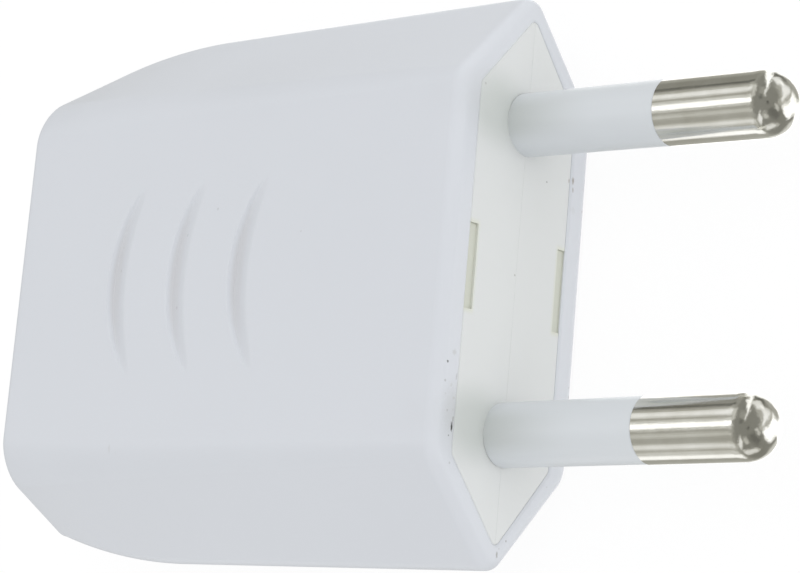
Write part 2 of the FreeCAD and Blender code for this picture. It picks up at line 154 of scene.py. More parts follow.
def add_ring(piece, at, half_width, flat_half, thick_half, corner, apex, lifted=0.0):
    """A six-sided ring across the X axis with rounded corners, bridged to the ring before it.

    A ring in the plane of the one before is bridged while lifted off it, and then set down.
    """
    slope = math.atan2(thick_half, half_width - flat_half)
    before = last_ring(piece)
    bpy.ops.mesh.select_all(action="DESELECT")
    bpy.ops.mesh.primitive_circle_add(
        vertices=6, radius=1.0, location=(at + lifted, 0.0, 0.0), rotation=(0.0, math.pi / 2, 0.0)
    )
    tall = thick_half / math.sin(math.pi / 3)
    bpy.ops.transform.resize(value=(1.0, half_width, tall), center_override=(at, 0.0, 0.0))
    pick_vertices(piece, lambda place, ring: ring == 0 and abs(place.z) > thick_half / 2)
    bpy.ops.transform.resize(value=(1.0, flat_half / (half_width / 2), 1.0), center_override=(at, 0.0, 0.0))
    bpy.ops.mesh.bevel(offset=corner * math.tan(slope / 2), segments=corner_steps, affect="VERTICES")
    pick_vertices(piece, lambda place, ring: ring == 0 and abs(place.z) < thick_half * 0.01)
    bpy.ops.mesh.bevel(offset=apex / math.tan(slope), segments=apex_steps, affect="VERTICES")
    pick_vertices(piece, lambda place, ring: ring in (0, before))
    if before:
        bpy.ops.mesh.bridge_edge_loops()
    pick_vertices(piece, lambda place, ring: ring == 0)
    bpy.ops.transform.translate(value=(-lifted, 0.0, 0.0))
    shape = bmesh.from_edit_mesh(piece.data)
    ring = shape.verts.layers.int["ring"]
    for vertex in shape.verts:
        if vertex[ring] == 0:
            vertex[ring] = before + 1
    bmesh.update_edit_mesh(piece.data)


def close_ends(piece):
    """Closes the first and the last ring with one face each."""
    for end in (1, last_ring(piece)):
        pick_vertices(piece, lambda place, ring: ring == end)
        bpy.ops.mesh.edge_face_add()
    bpy.ops.mesh.select_all(action="SELECT")
    bpy.ops.mesh.normals_make_consistent(inside=False)


def outside_at(at):
    """Half width, flat half, half thickness and corner radii of the shell, this far behind its mouth."""
    share = at / body_length
    half_width = mouth_half_width + (shoulder_half_width - mouth_half_width) * min(at / shoulder_at, 1.0)
    behind = max(at - shoulder_at, 0.0) / (body_length - shoulder_at)
    half_width -= (shoulder_half_width - rear_half_width) * behind ** 2
    flat_half = mouth_flat_half + (rear_flat_half - mouth_flat_half) * share
    corner = mouth_corner + (rear_corner - mouth_corner) * share
    return half_width, flat_half, half_thickness, corner, apex_corner


def drawn_in(section, inset):
    """The same section moved in by an equal distance all round."""
    half_width, flat_half, thick_half, corner, apex = section
    slope = math.atan2(thick_half, half_width - flat_half)
    return (
        half_width - inset / math.sin(slope),
        flat_half - inset * math.tan(slope / 2),
        thick_half - inset,
        max(corner - inset, least_corner),
        max(apex - inset, least_corner),
    )


def cavity_at(narrowing):
    """The space inside the shell, less its draw towards the rear."""
    return (
        mouth_half_width - side_wall - narrowing,
        mouth_flat_half - cavity_flat_inset,
        half_thickness - face_wall,
        cavity_corner,
        cavity_corner,
    )


shell = start_piece("shell")
add_ring(shell, -(body_length - rear_wall), *cavity_at(cavity_taper))
add_ring(shell, -shoulder_at, *cavity_at(0.0))
for step in range(lip_steps + 1):
    share = step / lip_steps
    add_ring(shell, -lip_depth * (1.0 - share) ** 2, *drawn_in(cavity_at(0.0), -lip_width * share))
for step in range(round_steps, -1, -1):
    turned = math.pi / 2 * step / round_steps
    inset = rim_round * (1.0 - math.cos(turned))
    lifted = 1.0 if step == round_steps else 0.0
    at = rim_round * (1.0 - math.sin(turned))
    add_ring(shell, -at, *drawn_in(outside_at(rim_round), inset), lifted)
station_gap = 0.7
station_count = round((body_length - rim_round - rear_round) / station_gap)
for step in range(1, station_count):
    at = rim_round + (body_length - rim_round - rear_round) * step / station_count
    add_ring(shell, -at, *outside_at(at))
for step in range(round_steps + 1):
    turned = math.pi / 2 * step / round_steps
    inset = rear_round * (1.0 - math.cos(turned))
    at = body_length - rear_round * (1.0 - math.sin(turned))
    add_ring(shell, -at, *drawn_in(outside_at(body_length - rear_round), inset))
close_ends(shell)

# Grip crescents: the flats are cut into a fine net there, and a Displace modifier sinks them.
grip_first_at = 18.1
grip_spacing = 5.75
grip_radius = 9.5
grip_half_angle = math.radians(41.5)
grip_depth = 0.4
grip_width = 1.65
grip_lip = 0.34
grip_zone = (13.0, 32.5)
grip_rows = (16.2, 30.2)
grip_zone_half = 7.0
grip_bend_end = 9.0
grip_floor_curve = 2.2
cuts_across = 100
cuts_along = 7
side_to_side = 5.0
between_stations = 0.3


def in_zone(place):
    return grip_zone[0] < -place.x < grip_zone[1] and abs(abs(place.z) - half_thickness) < touching


def across_zone(one, other):
    """The long edges that cross a flat from side to side."""
    level = abs(one.x - other.x) < touching
    return in_zone(one) and in_zone(other) and level and abs(one.y - other.y) > side_to_side


def along_zone(one, other):
    """The short edges from one station to the next, as wide as the grips."""
    among_grips = abs(one.y) < grip_zone_half
    return in_zone(one) and in_zone(other) and among_grips and abs(one.x - other.x) > between_stations


pick_edges(shell, across_zone)
bpy.ops.mesh.subdivide(number_cuts=cuts_across)
pick_edges(shell, along_zone)
bpy.ops.mesh.subdivide(number_cuts=cuts_along)
bpy.ops.object.mode_set(mode="OBJECT")
make_active(shell)


def arc_bend(ahead, across):
    """How far the net is drawn towards the mouth, as a share of the full bend.

    Its rows follow the arcs in this way.
    """
    edge = grip_radius * math.sin(grip_half_angle)
    angle = math.asin(min(abs(across), edge) / grip_radius)
    bend = (1.0 - math.cos(angle)) / (1.0 - math.cos(grip_half_angle))
    front = min(max((ahead - grip_zone[0]) / (grip_rows[0] - grip_zone[0]), 0.0), 1.0)
    back = min(max((grip_zone[1] - ahead) / (grip_zone[1] - grip_rows[1]), 0.0), 1.0)
    side = min(max((grip_bend_end - abs(across)) / (grip_bend_end - grip_zone_half), 0.0), 1.0)
    return bend * min(front, back) * side


def displace(name, weight, strength, direction):
    """Moves the net by a Displace modifier, as far as a weight says at each of its places."""
    group = shell.vertex_groups.new(name=name)
    for vertex in shell.data.vertices:
        if in_zone(vertex.co):
            share = weight(-vertex.co.x, vertex.co.y)
            if share > 0.0:
                group.add([vertex.index], share, "REPLACE")
    change = shell.modifiers.new(name, "DISPLACE")
    change.vertex_group = name
    change.mid_level = 0.0
    change.direction = direction
    change.strength = strength
    bpy.ops.object.modifier_apply(modifier=name)


displace("bend", arc_bend, grip_radius * (1.0 - math.cos(grip_half_angle)), "X")


def crescent_depth(ahead, across):
    """How deep the face is sunk at a place, for the nearest of the three crescents.

    Each one drops steeply at its rear edge and rises slowly towards the mouth.
    """
    if abs(across) >= grip_radius * math.sin(grip_half_angle):
        return 0.0
    angle = math.asin(across / grip_radius)
    taper = (math.cos(angle) - math.cos(grip_half_angle)) / (1.0 - math.cos(grip_half_angle))
    deepest = 0.0
    for number in range(3):
        line = grip_first_at + grip_spacing * number - grip_radius * (1.0 - math.cos(angle))
        past = line - ahead
        width = grip_width * taper ** 0.5
        lip = grip_lip * taper ** 0.5
        if -lip < past < 0.0:
            share = (past + lip) / lip
            deepest = max(deepest, share * share * (3.0 - 2.0 * share) * taper)
        elif 0.0 <= past < width:
            share = (width - past) / width
            deepest = max(deepest, (1.0 - (1.0 - share) ** 2) ** grip_floor_curve * taper)
    return deepest


displace("grips", crescent_depth, -grip_depth, "NORMAL")


def use_tool(piece, tool, operation):
    """Cuts or joins a tool object and removes it."""
    make_active(piece)
    change = piece.modifiers.new("tool", "BOOLEAN")
    change.object = tool
    change.operation = operation
    change.solver = "EXACT"
    bpy.ops.object.modifier_apply(modifier="tool")
    bpy.data.objects.remove(tool)


def block(name, low, high):
    """A box between two corners, ready to be used as a tool."""
    bpy.ops.object.select_all(action="DESELECT")
    middle = (Vector(low) + Vector(high)) / 2
    bpy.ops.mesh.primitive_cube_add(size=1.0, location=middle)
    tool = bpy.context.active_object
    tool.name = name
    tool.scale = Vector(high) - Vector(low)
    bpy.ops.object.transform_apply(location=True, rotation=True, scale=True)
    return tool


# Blade slots: two flat holes through the rear wall, each with a lead-in.
blade_spacing = 12.7
slot_half_width = 1.15
slot_half_height = 3.5
slot_corner = 0.4
slot_lead = 0.25
tool_past = 1.0
tool_overlap = 0.01
for side in (1, -1):
    middle = side * blade_spacing / 2
    slot = block(
        "slot",
        (-body_length - tool_past, middle - slot_half_width, -slot_half_height),
        (-body_length + rear_wall + tool_past, middle + slot_half_width, slot_half_height),
    )
    bpy.ops.object.mode_set(mode="EDIT")
    pick_edges(slot, lambda one, other: abs(one.x - other.x) > rear_wall)
    bpy.ops.mesh.bevel(offset=slot_corner, segments=5, affect="EDGES")
    pick_vertices(slot, lambda place, ring: place.x < -body_length)
    bpy.ops.transform.translate(value=(tool_past + slot_lead, 0.0, 0.0))
    bpy.ops.mesh.extrude_region_move(
        TRANSFORM_OT_translate={"value": (-slot_lead - tool_overlap, 0.0, 0.0)}
    )
    bpy.ops.transform.resize(
        value=(1.0, 1.0 + slot_lead / slot_half_width, 1.0 + slot_lead / slot_half_height),
        center_override=(0.0, middle, 0.0),
    )
    bpy.ops.object.mode_set(mode="OBJECT")
    use_tool(shell, slot, "DIFFERENCE")

# Snap keys: one inside each large face, which fills the notch of a carrier.
snap_half_width = 2.59
snap_height = 0.751
snap_root = 0.9
snap_crest = half_thickness - face_wall - snap_height
snap_front = 0.22
snap_back = 4.5
for side in (1, -1):
    bottom, top = sorted((side * snap_crest, side * (half_thickness - snap_root)))
    key = block("key", (-snap_back, -snap_half_width, bottom), (-snap_front, snap_half_width, top))
    use_tool(shell, key, "UNION")


def finish_piece(piece, angle=30.0):
    """Brings a finished piece from millimetres to metres and smooths its curved faces."""
    make_active(piece)
    if "ring" in piece.data.attributes:
        piece.data.attributes.remove(piece.data.attributes["ring"])
    piece.scale = (MILLIMETRE, MILLIMETRE, MILLIMETRE)
    bpy.ops.object.transform_apply(location=True, rotation=True, scale=True)
    bpy.ops.object.shade_smooth_by_angle(angle=math.radians(angle))
    flats = piece.modifiers.new("flats", "WEIGHTED_NORMAL")
    flats.keep_sharp = True
    bpy.ops.object.modifier_apply(modifier="flats")


finish_piece(shell)
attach(shell, "root")
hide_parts("outer_shell")


def new_material(name):
    """A material with only its output and one principled shader."""
    material = bpy.data.materials.new(name)
    material.use_nodes = True
    tree = material.node_tree
    return material, tree, tree.nodes["Principled BSDF"]


def node(tree, kind, **settings):
    """Adds a node. Settings named after its properties are set there, and the rest on its sockets."""
    made = tree.nodes.new(kind)
    for key, value in settings.items():
        if hasattr(made, key):
            setattr(made, key, value)
        else:
            feed(tree, value, made.inputs[key.replace("_", " ")])
    return made


def feed(tree, value, socket):
    """Links an output to a socket, or sets a plain value on it."""
    if isinstance(value, bpy.types.NodeSocket):
        tree.links.new(value, socket)
    else:
        socket.default_value = value


def sums(tree, operation, *values):
    """One Math node on outputs and plain numbers."""
    made = tree.nodes.new("ShaderNodeMath")
    made.operation = operation
    for value, socket in zip(values, made.inputs):
        feed(tree, value, socket)
    return made.outputs[0]


def vectors(tree, operation, *values):
    """One Vector Math node on outputs and plain vectors."""
    made = tree.nodes.new("ShaderNodeVectorMath")
    made.operation = operation
    for value, socket in zip(values, made.inputs):
        feed(tree, value, socket)
    return made.outputs["Value"] if operation == "LENGTH" else made.outputs[0]


def ramp(tree, value, low, high, at_low=0.0, at_high=1.0):
    """A soft step from one value to another."""
    made = node(tree, "ShaderNodeMapRange", interpolation_type="SMOOTHSTEP")
    for label, number in (
        ("Value", value), ("From Min", low), ("From Max", high), ("To Min", at_low), ("To Max", at_high)
    ):
        feed(tree, number, made.inputs[label])
    return made.outputs["Result"]


def over(tree, value, low, high):
    """A mask that goes from 0 to 1 between two places in millimetres."""
    return ramp(tree, value, low * MILLIMETRE, high * MILLIMETRE)


def under(tree, value, low, high):
    """A mask that goes from 1 to 0 between two places in millimetres."""
    return ramp(tree, value, low * MILLIMETRE, high * MILLIMETRE, 1.0, 0.0)


def product(tree, *values):
    """All the values multiplied, in their order."""
    result = values[0]
    for value in values[1:]:
        result = sums(tree, "MULTIPLY", result, value)
    return result


def mixed(tree, share, first, second):
    """The first colour where the share is 0 and the second where it is 1."""
    mix = node(tree, "ShaderNodeMix", data_type="RGBA")
    for value, socket in ((share, mix.inputs[0]), (first, mix.inputs[6]), (second, mix.inputs[7])):
        feed(tree, value, socket)
    return mix.outputs[2]


def object_place(tree):
    """Where a point lies on the finished object. Every pattern is laid on it."""
    return node(tree, "ShaderNodeTexCoord").outputs["Object"]


def object_axes(tree):
    """The same place, as its distances along the three axes."""
    return node(tree, "ShaderNodeSeparateXYZ", Vector=object_place(tree)).outputs


def new_group(name, inputs, outputs):
    """An empty node group with named sockets. Gives the group, its input node and its output node."""
    group = bpy.data.node_groups.new(name, "ShaderNodeTree")
    for in_out, sockets in (("INPUT", inputs), ("OUTPUT", outputs)):
        for label, kind in sockets.items():
            group.interface.new_socket(name=label, in_out=in_out, socket_type="NodeSocket" + kind)
    return group, group.nodes.new("NodeGroupInput"), group.nodes.new("NodeGroupOutput")


def use_group(tree, group, **values):
    """Places a group with its own values and gives its outputs."""
    placed = tree.nodes.new("ShaderNodeGroup")
    placed.node_tree = group
    for key, value in values.items():
        feed(tree, value, placed.inputs[key.replace("_", " ")])
    return placed.outputs


def linear(red, green, blue):
    """The shader's colour for a colour read from 0 to 255."""
    def channel(value):
        value /= 255.0
        return value / 12.92 if value <= 0.04045 else ((value + 0.055) / 1.055) ** 2.4
    return channel(red), channel(green), channel(blue), 1.0


def moulded_skin_group():
    """Satin moulded plastic: slight cloudiness, a fine spark-eroded grain and faint rubbed hairlines."""
    group, given, gives = new_group(
        "moulded_skin",
        {"Colour": "Color", "Cloud": "Float", "Gloss": "Float", "Grain": "Float"},
        {"Colour": "Color", "Roughness": "Float", "Normal": "Vector"},
    )
    hairline = (0.66, 0.74)
    hairline_gloss = 0.05
    hairline_depth = -0.15
    cloud_gloss = 0.16
    grain_height = 0.00001
    place = object_place(group)
    cloud = node(group, "ShaderNodeTexNoise", Vector=place, Scale=110.0, Detail=4.0, Roughness=0.6)
    unevenness = sums(group, "SUBTRACT", cloud.outputs[0], 0.5)
    shade = sums(group, "MULTIPLY_ADD", unevenness, given.outputs["Cloud"], 1.0)
    tint = node(group, "ShaderNodeMix", data_type="RGBA", blend_type="MULTIPLY")
    tint.inputs[0].default_value = 1.0
    group.links.new(given.outputs["Colour"], tint.inputs[6])
    group.links.new(shade, tint.inputs[7])
    group.links.new(tint.outputs[2], gives.inputs["Colour"])
    hair_place = node(group, "ShaderNodeMapping", Vector=place)
    hair_place.inputs["Rotation"].default_value = (0.3, 0.2, 0.5)
    hair_place.inputs["Scale"].default_value = (40.0, 1500.0, 1500.0)
    hair = node(group, "ShaderNodeTexNoise", Vector=hair_place.outputs[0], Scale=1.0, Detail=2.0)
    rubbed = ramp(group, hair.outputs[0], *hairline)
    gloss = sums(group, "MULTIPLY_ADD", unevenness, cloud_gloss, given.outputs["Gloss"])
    gloss = sums(group, "MULTIPLY_ADD", rubbed, hairline_gloss, gloss)
    group.links.new(gloss, gives.inputs["Roughness"])
    grain = node(group, "ShaderNodeTexNoise", Vector=place, Scale=3200.0, Detail=2.0)
    height = sums(group, "MULTIPLY_ADD", rubbed, hairline_depth, grain.outputs[0])
    bump = node(group, "ShaderNodeBump", Distance=grain_height)
    group.links.new(given.outputs["Grain"], bump.inputs["Strength"])
    group.links.new(height, bump.inputs["Height"])
    group.links.new(bump.outputs[0], gives.inputs["Normal"])
    return group


def speck_group():
    """A mark at one place: ragged at its edge and longer along a chosen direction."""
    group, given, gives = new_group(
        "speck",
        {"Place": "Vector", "Stretch": "Vector", "Size": "Float"},
        {"Mask": "Float"},
    )
    raggedness = 1.6
    least_reach = 0.2
    soft_edge = (0.3, 1.1)
    here = object_place(group)
    ragged = node(group, "ShaderNodeTexNoise", Vector=here, Scale=7000.0, Detail=3.0)
    away = vectors(group, "SUBTRACT", here, given.outputs["Place"])
    away = vectors(group, "MULTIPLY", away, given.outputs["Stretch"])
    reach = sums(group, "MULTIPLY_ADD", ragged.outputs[0], raggedness, least_reach)
    reach = sums(group, "MULTIPLY", given.outputs["Size"], reach)
    share = sums(group, "DIVIDE", vectors(group, "LENGTH", away), reach)
    group.links.new(ramp(group, share, *soft_edge, 1.0, 0.0), gives.inputs["Mask"])
    return group


def painted_pin_shade_group():
    """Painted shade round the feet of the pins, off to one side, where their soft shadow falls."""
    group, given, gives = new_group(
        "painted_pin_shade",
        {"Colour": "Color", "Shade": "Color", "Shift": "Float", "Rise": "Float", "Squeeze": "Float"},
        {"Colour": "Color"},
    )
    place = object_axes(group)
    pin_at = sums(group, "MULTIPLY", sums(group, "SIGN", place["Y"]), pin_half_pitch * MILLIMETRE)
    across = sums(group, "SUBTRACT", place["Y"], pin_at)
    across = sums(group, "SUBTRACT", across, given.outputs["Shift"])
    across = sums(group, "MULTIPLY", across, given.outputs["Squeeze"])
    up = sums(group, "SUBTRACT", place["Z"], given.outputs["Rise"])
    from_pin = sums(group, "MULTIPLY_ADD", across, across, sums(group, "MULTIPLY", up, up))
    from_pin = sums(group, "SQRT", from_pin)
    near = under(group, from_pin, painted_shade_inner, painted_shade_outer)
    low = product(group, under(group, place["X"], 0.0, painted_shade_reach), over(group, place["X"], *painted_shade_rear))
    shaded = mixed(group, product(group, near, low), given.outputs["Colour"], given.outputs["Shade"])
    group.links.new(shaded, gives.inputs["Colour"])
    return group


def marked(tree, colour, specks):
    """Darkens a colour at each speck: its place, stretch and size in millimetres, strength and tone."""
    for place, stretch, size, strength, tone in specks:
        mask = use_group(
            tree,
            speck,
            Place=Vector(place) * MILLIMETRE,
            Stretch=stretch,
            Size=size * MILLIMETRE,
        )["Mask"]
        colour = mixed(tree, sums(tree, "MULTIPLY", mask, strength), colour, tone)
    return colour


def finish_plastic(tree, shader, colour, painted_shade, skin, specks=()):
    """Paints shade into a plastic's colour by the pins, lays the moulded skin over it and adds its marks.
    """
    shaded = use_group(tree, painted_pin_shade, Colour=colour, **painted_shade)["Colour"]
    skin = use_group(tree, moulded_skin, Colour=shaded, **skin)
    tree.links.new(marked(tree, skin["Colour"], specks), shader.inputs["Base Color"])
    tree.links.new(skin["Roughness"], shader.inputs["Roughness"])
    tree.links.new(skin["Normal"], shader.inputs["Normal"])


pin_half_pitch = 9.6
# Painted shade round the feet of the pins: its inner and outer reach from the pin, and where it fades along
# the pins and behind the face, in millimetres.
painted_shade_inner = 1.1
painted_shade_outer = 4.3
painted_shade_reach = 7.0
painted_shade_rear = (-4.0, -1.0)
moulded_skin = moulded_skin_group()
speck = speck_group()
painted_pin_shade = painted_pin_shade_group()
ROUND_MARK = (1.0, 1.0, 1.0)
ALONG_RIM = (1.0, 0.45, 1.0)
grime = linear(96, 88, 66)
soot = linear(30, 26, 18)
rust = linear(118, 96, 70)
dust = linear(168, 166, 158)
shell_plastic, tree, shader = new_material("shell_plastic")
shell_colour = linear(213, 216, 221)
# Painted shade inside the notches, on the fronts of the snap keys, in a darker, yellower tone.
notch_shade_colour = linear(206, 208, 196)
notch_side = (2.6, 2.62)
notch_front = (-0.1, -0.2)
notch_rear = (-6.0, -5.0)
notch_top = (4.6, 4.8)
# Painted shade in the grip crescents, where the face is sunk more than about a tenth of a millimetre.
grip_shade_colour = linear(208, 209, 212)
grip_sunk = (0.1, 0.4)
grip_side = (6.8, 7.2)
grip_front = (-12.2, -13.0)
grip_rear = (-33.0, -32.2)
# Painted shade round the feet of the pins on the shell, in a greyer tone.
shell_painted_shade = {"Shade": linear(203, 206, 209), "Shift": 0.0004, "Rise": 0.003, "Squeeze": 1.4}
shell_skin = {"Cloud": 0.035, "Gloss": 0.42, "Grain": 0.5}
place = object_axes(tree)
across = sums(tree, "ABSOLUTE", place["Y"])
height = sums(tree, "ABSOLUTE", place["Z"])
in_notch_shade = product(
    tree,
    under(tree, across, *notch_side),
    over(tree, place["X"], *notch_front),
    over(tree, place["X"], *notch_rear),
    under(tree, height, *notch_top),
)
in_grip_shade = product(
    tree,
    over(tree, sums(tree, "SUBTRACT", half_thickness * MILLIMETRE, height), *grip_sunk),
    under(tree, across, *grip_side),
    over(tree, place["X"], *grip_front),
    over(tree, place["X"], *grip_rear),
)
# The shell's own colour, with the painted shade in the notches and the grips.
shell_tone = mixed(tree, in_grip_shade, mixed(tree, in_notch_shade, shell_colour, notch_shade_colour), grip_shade_colour)
shell_marks = [
    # The first mark is a painted soft shadow of the left pin on the rim beside it, in the dust tone.
    ((-0.02, -8.7, 5.1), (1.0, 0.5, 1.0), 0.9, 0.12, dust),
    ((-0.02, -5.39, 5.22), ROUND_MARK, 0.22, 0.3, dust),
    ((-0.02, -6.0, 5.76), ROUND_MARK, 0.1, 0.9, soot),
    ((-0.02, -6.76, 4.85), ALONG_RIM, 0.11, 0.25, grime),
    ((-0.02, -7.13, 5.85), ROUND_MARK, 0.1, 0.3, grime),
    ((-0.02, -7.33, 5.26), ROUND_MARK, 0.15, 0.2, dust),
    ((-0.02, -7.91, 5.71), ROUND_MARK, 0.11, 0.2, dust),
    ((-0.02, -8.06, 4.95), ROUND_MARK, 0.13, 0.3, dust),
    ((-0.02, -8.85, 5.45), ROUND_MARK, 0.1, 0.25, grime),
    ((-0.02, -8.75, 4.95), ROUND_MARK, 0.11, 0.2, dust),
    ((-0.02, -9.3, 4.88), (1.0, 0.25, 1.0), 0.07, 0.5, grime),
    ((-0.02, -9.75, 4.94), (1.0, 0.35, 1.0), 0.12, 0.95, soot),
    ((-0.02, -10.3, 5.16), ROUND_MARK, 0.07, 0.7, soot),
    ((-0.02, -11.88, 4.85), ROUND_MARK, 0.1, 0.25, grime),
    ((-0.15, -13.52, 5.21), ROUND_MARK, 0.16, 0.15, dust),
    ((-0.02, 7.15, -4.85), ALONG_RIM, 0.13, 0.6, rust),
    ((-0.02, 6.6, -4.9), ALONG_RIM, 0.1, 0.4, rust),
    ((-0.02, 5.31, -5.05), ROUND_MARK, 0.3, 0.12, dust),
    ((-0.1, 6.82, -5.95), ROUND_MARK, 0.1, 0.4, rust),
    ((-0.1, 5.43, -6.05), ROUND_MARK, 0.12, 0.45, rust),
    ((-0.1, -5.8, -5.99), ROUND_MARK, 0.12, 0.35, grime),
    ((-0.1, -6.4, -6.05), ROUND_MARK, 0.13, 0.35, grime),
    ((-0.02, -16.75, -0.15), (1.0, 0.5, 1.0), 0.13, 0.5, grime),
    ((-0.02, -16.37, -0.32), ROUND_MARK, 0.08, 0.25, grime),
    ((-0.02, -15.86, -0.92), ROUND_MARK, 0.08, 0.55, grime),
    ((-0.02, -12.18, -4.5), ROUND_MARK, 0.06, 0.35, grime),
    ((-28.0, -11.2, 6.6), (1.0, 0.4, 1.0), 0.16, 0.15, dust),
    ((-27.4, -11.5, 6.6), (1.0, 0.6, 1.0), 0.12, 0.15, dust),
    ((-29.0, 2.43, 6.35), ROUND_MARK, 0.12, 0.15, grime),
    ((-29.0, 0.85, 6.35), ROUND_MARK, 0.12, 0.2, grime),
    ((-22.66, 2.84, 6.35), ROUND_MARK, 0.14, 0.3, linear(120, 130, 118)),
    ((-23.14, -1.93, 6.35), ROUND_MARK, 0.13, 0.25, linear(120, 96, 108)),
    ((-19.87, 4.38, 6.6), ROUND_MARK, 0.11, 0.2, grime),
    ((-12.18, 2.41, 6.6), ROUND_MARK, 0.08, 0.2, grime),
]
finish_plastic(tree, shader, shell_tone, shell_painted_shade, shell_skin, shell_marks)
shell.data.materials.append(shell_plastic)

# Carriers: the two like halves of the insert, moulded in a slightly creamier plastic.
# They fill the mouth of the shell, meet on the plane of the pins and hold them by their collars.
pin_lean = math.atan2(0.45, 19.0)
carrier_plastic, tree, shader = new_material("carrier_plastic")
carrier_colour = linear(219, 221, 220)
# Painted shade in the notches of the carriers, in a darker, yellower tone.
carrier_notch_shade = linear(217, 219, 208)
carrier_notch_shade_height = (3.6, 4.0)
carrier_notch_shade_side = (2.6, 3.0)
# Painted shade round the feet of the pins on the carriers.
carrier_painted_shade = {"Shade": linear(203, 207, 204), "Shift": 0.0004, "Rise": 0.003, "Squeeze": 1.4}
carrier_skin = {"Cloud": 0.04, "Gloss": 0.45, "Grain": 0.5}
place = object_axes(tree)
in_carrier_notch_shade = product(
    tree,
    over(tree, sums(tree, "ABSOLUTE", place["Z"]), *carrier_notch_shade_height),
    under(tree, sums(tree, "ABSOLUTE", place["Y"]), *carrier_notch_shade_side),
)
carrier_tone = mixed(tree, in_carrier_notch_shade, carrier_colour, carrier_notch_shade)
carrier_marks = [
    ((-0.06, 6.53, -2.3), ROUND_MARK, 0.08, 0.45, soot),
    ((-0.06, 0.18, 0.12), ROUND_MARK, 0.08, 0.4, grime),
    ((-0.06, 11.2, 4.3), ROUND_MARK, 0.1, 0.3, grime),
    ((-0.06, -12.6, -3.5), ROUND_MARK, 0.17, 0.2, dust),
    ((-0.06, 7.1, -4.5), ALONG_RIM, 0.09, 0.4, rust),
]
finish_plastic(tree, shader, carrier_tone, carrier_painted_shade, carrier_skin, carrier_marks)
fit_clearance = 0.004
carrier_end_gap = 0.2
insert_recess = 0.06
edge_width = 0.1
edge_depth = 0.05
edge_steps = 3
parting_round = 0.16
parting_gap = 0.004
notch_half_width = 2.6
notch_depth = 0.75
notch_reach = 4.6
contact_room_front = 11.9
room_inner = 4.3
room_outer = 12.4
room_half_height = 2.85
blade_way_front = 19.0
shank_bed = {"reach": 14.0, "radius": 1.84, "front": 0.5}
collar_seat = {"reach": 1.6, "radius": 2.66, "front": -1.95}


def seat_tool(side, reach, radius, front):
    """A rod along one pin, for the bed that is cut in the carriers."""
    bpy.ops.object.select_all(action="DESELECT")
    bpy.ops.mesh.primitive_cylinder_add(
        vertices=64,
        radius=radius,
        depth=reach,
        location=(front - reach / 2, 0.0, 0.0),
        rotation=(0.0, math.pi / 2, 0.0),
    )
    tool = bpy.context.active_object
    bpy.ops.object.transform_apply(location=True, rotation=True, scale=True)
    tool.rotation_euler = (0.0, 0.0, -side * pin_lean)
    tool.location = (0.0, side * pin_half_pitch, 0.0)
    bpy.ops.object.transform_apply(location=True, rotation=True, scale=True)
    return tool


def at_parting(one, other):
    """The edges of the front face that run along the parting line."""
    highest = max(abs(one.z), abs(other.z))
    return highest < parting_gap + touching and min(one.x, other.x) > -insert_recess - touching


for name, side in (("upper_carrier", 1), ("lower_carrier", -1)):
    carrier = start_piece(name + "_moulding")
    rear = body_length - rear_wall - carrier_end_gap
    section = drawn_in(cavity_at(0.0), fit_clearance)
    add_ring(carrier, -rear, *drawn_in(cavity_at(cavity_taper), fit_clearance))
    add_ring(carrier, -shoulder_at, *section)
    for step in range(edge_steps + 1):
        share = step / edge_steps
        at = insert_recess + edge_depth * (1.0 - share) ** 2
        add_ring(carrier, -at, *drawn_in(section, edge_width * share))
    close_ends(carrier)
    bpy.ops.mesh.select_all(action="SELECT")
    bpy.ops.mesh.bisect(
        plane_co=(0.0, 0.0, side * parting_gap), plane_no=(0.0, 0.0, side), use_fill=True, clear_inner=True
    )
    pick_edges(carrier, at_parting)
    bpy.ops.mesh.bevel(offset=parting_round, segments=3, affect="EDGES")
    bpy.ops.object.mode_set(mode="OBJECT")
    top = half_thickness - face_wall - fit_clearance
    low_z, high_z = sorted((side * (top - notch_depth), side * (top + tool_past)))
    use_tool(
        carrier,
        block("notch", (-notch_reach, -notch_half_width, low_z), (tool_past, notch_half_width, high_z)),
        "DIFFERENCE",
    )
    for hand in (1, -1):
        use_tool(carrier, seat_tool(hand, **shank_bed), "DIFFERENCE")
        use_tool(carrier, seat_tool(hand, **collar_seat), "DIFFERENCE")
        edges = sorted((hand * room_inner, hand * room_outer))
        use_tool(
            carrier,
            block(
                "room",
                (-rear - tool_past, edges[0], -room_half_height),
                (-contact_room_front, edges[1], room_half_height),
            ),
            "DIFFERENCE",
        )
        middle = hand * blade_spacing / 2
        use_tool(
            carrier,
            block(
                "blade_way",
                (-rear - tool_past, middle - slot_half_width, -slot_half_height),
                (-blade_way_front, middle + slot_half_width, slot_half_height),
            ),
            "DIFFERENCE",
        )
    finish_piece(carrier)
    carrier.data.materials.append(carrier_plastic)
    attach(carrier, "root")
    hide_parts(name)


# Sleeves: cool white insulation moulded round the neck of each pin, with a soft outer edge.
# A shoulder stands on the face of the carriers, and the bare metal begins flush with the other end.
sleeve_length = 10.6
sleeve_radius = 1.965
sleeve_bore = 1.51
sleeve_root = 2.0
sleeve_root_radius = 1.78
sleeve_edge = 0.06
foot_clearance = 0.004
sleeve_foot = -insert_recess + foot_clearance
turned_sides = 96
sleeve_plastic, tree, shader = new_material("sleeve_plastic")
sleeve_colour = linear(213, 217, 220)
# Painted shade at the root of the sleeves.
sleeve_painted_shade = {"Shade": linear(197, 201, 200), "Shift": 0.0, "Rise": 0.0018, "Squeeze": 2.3}
sleeve_skin = {"Cloud": 0.03, "Gloss": 0.38, "Grain": 0.35}
finish_plastic(tree, shader, sleeve_colour, sleeve_painted_shade, sleeve_skin)


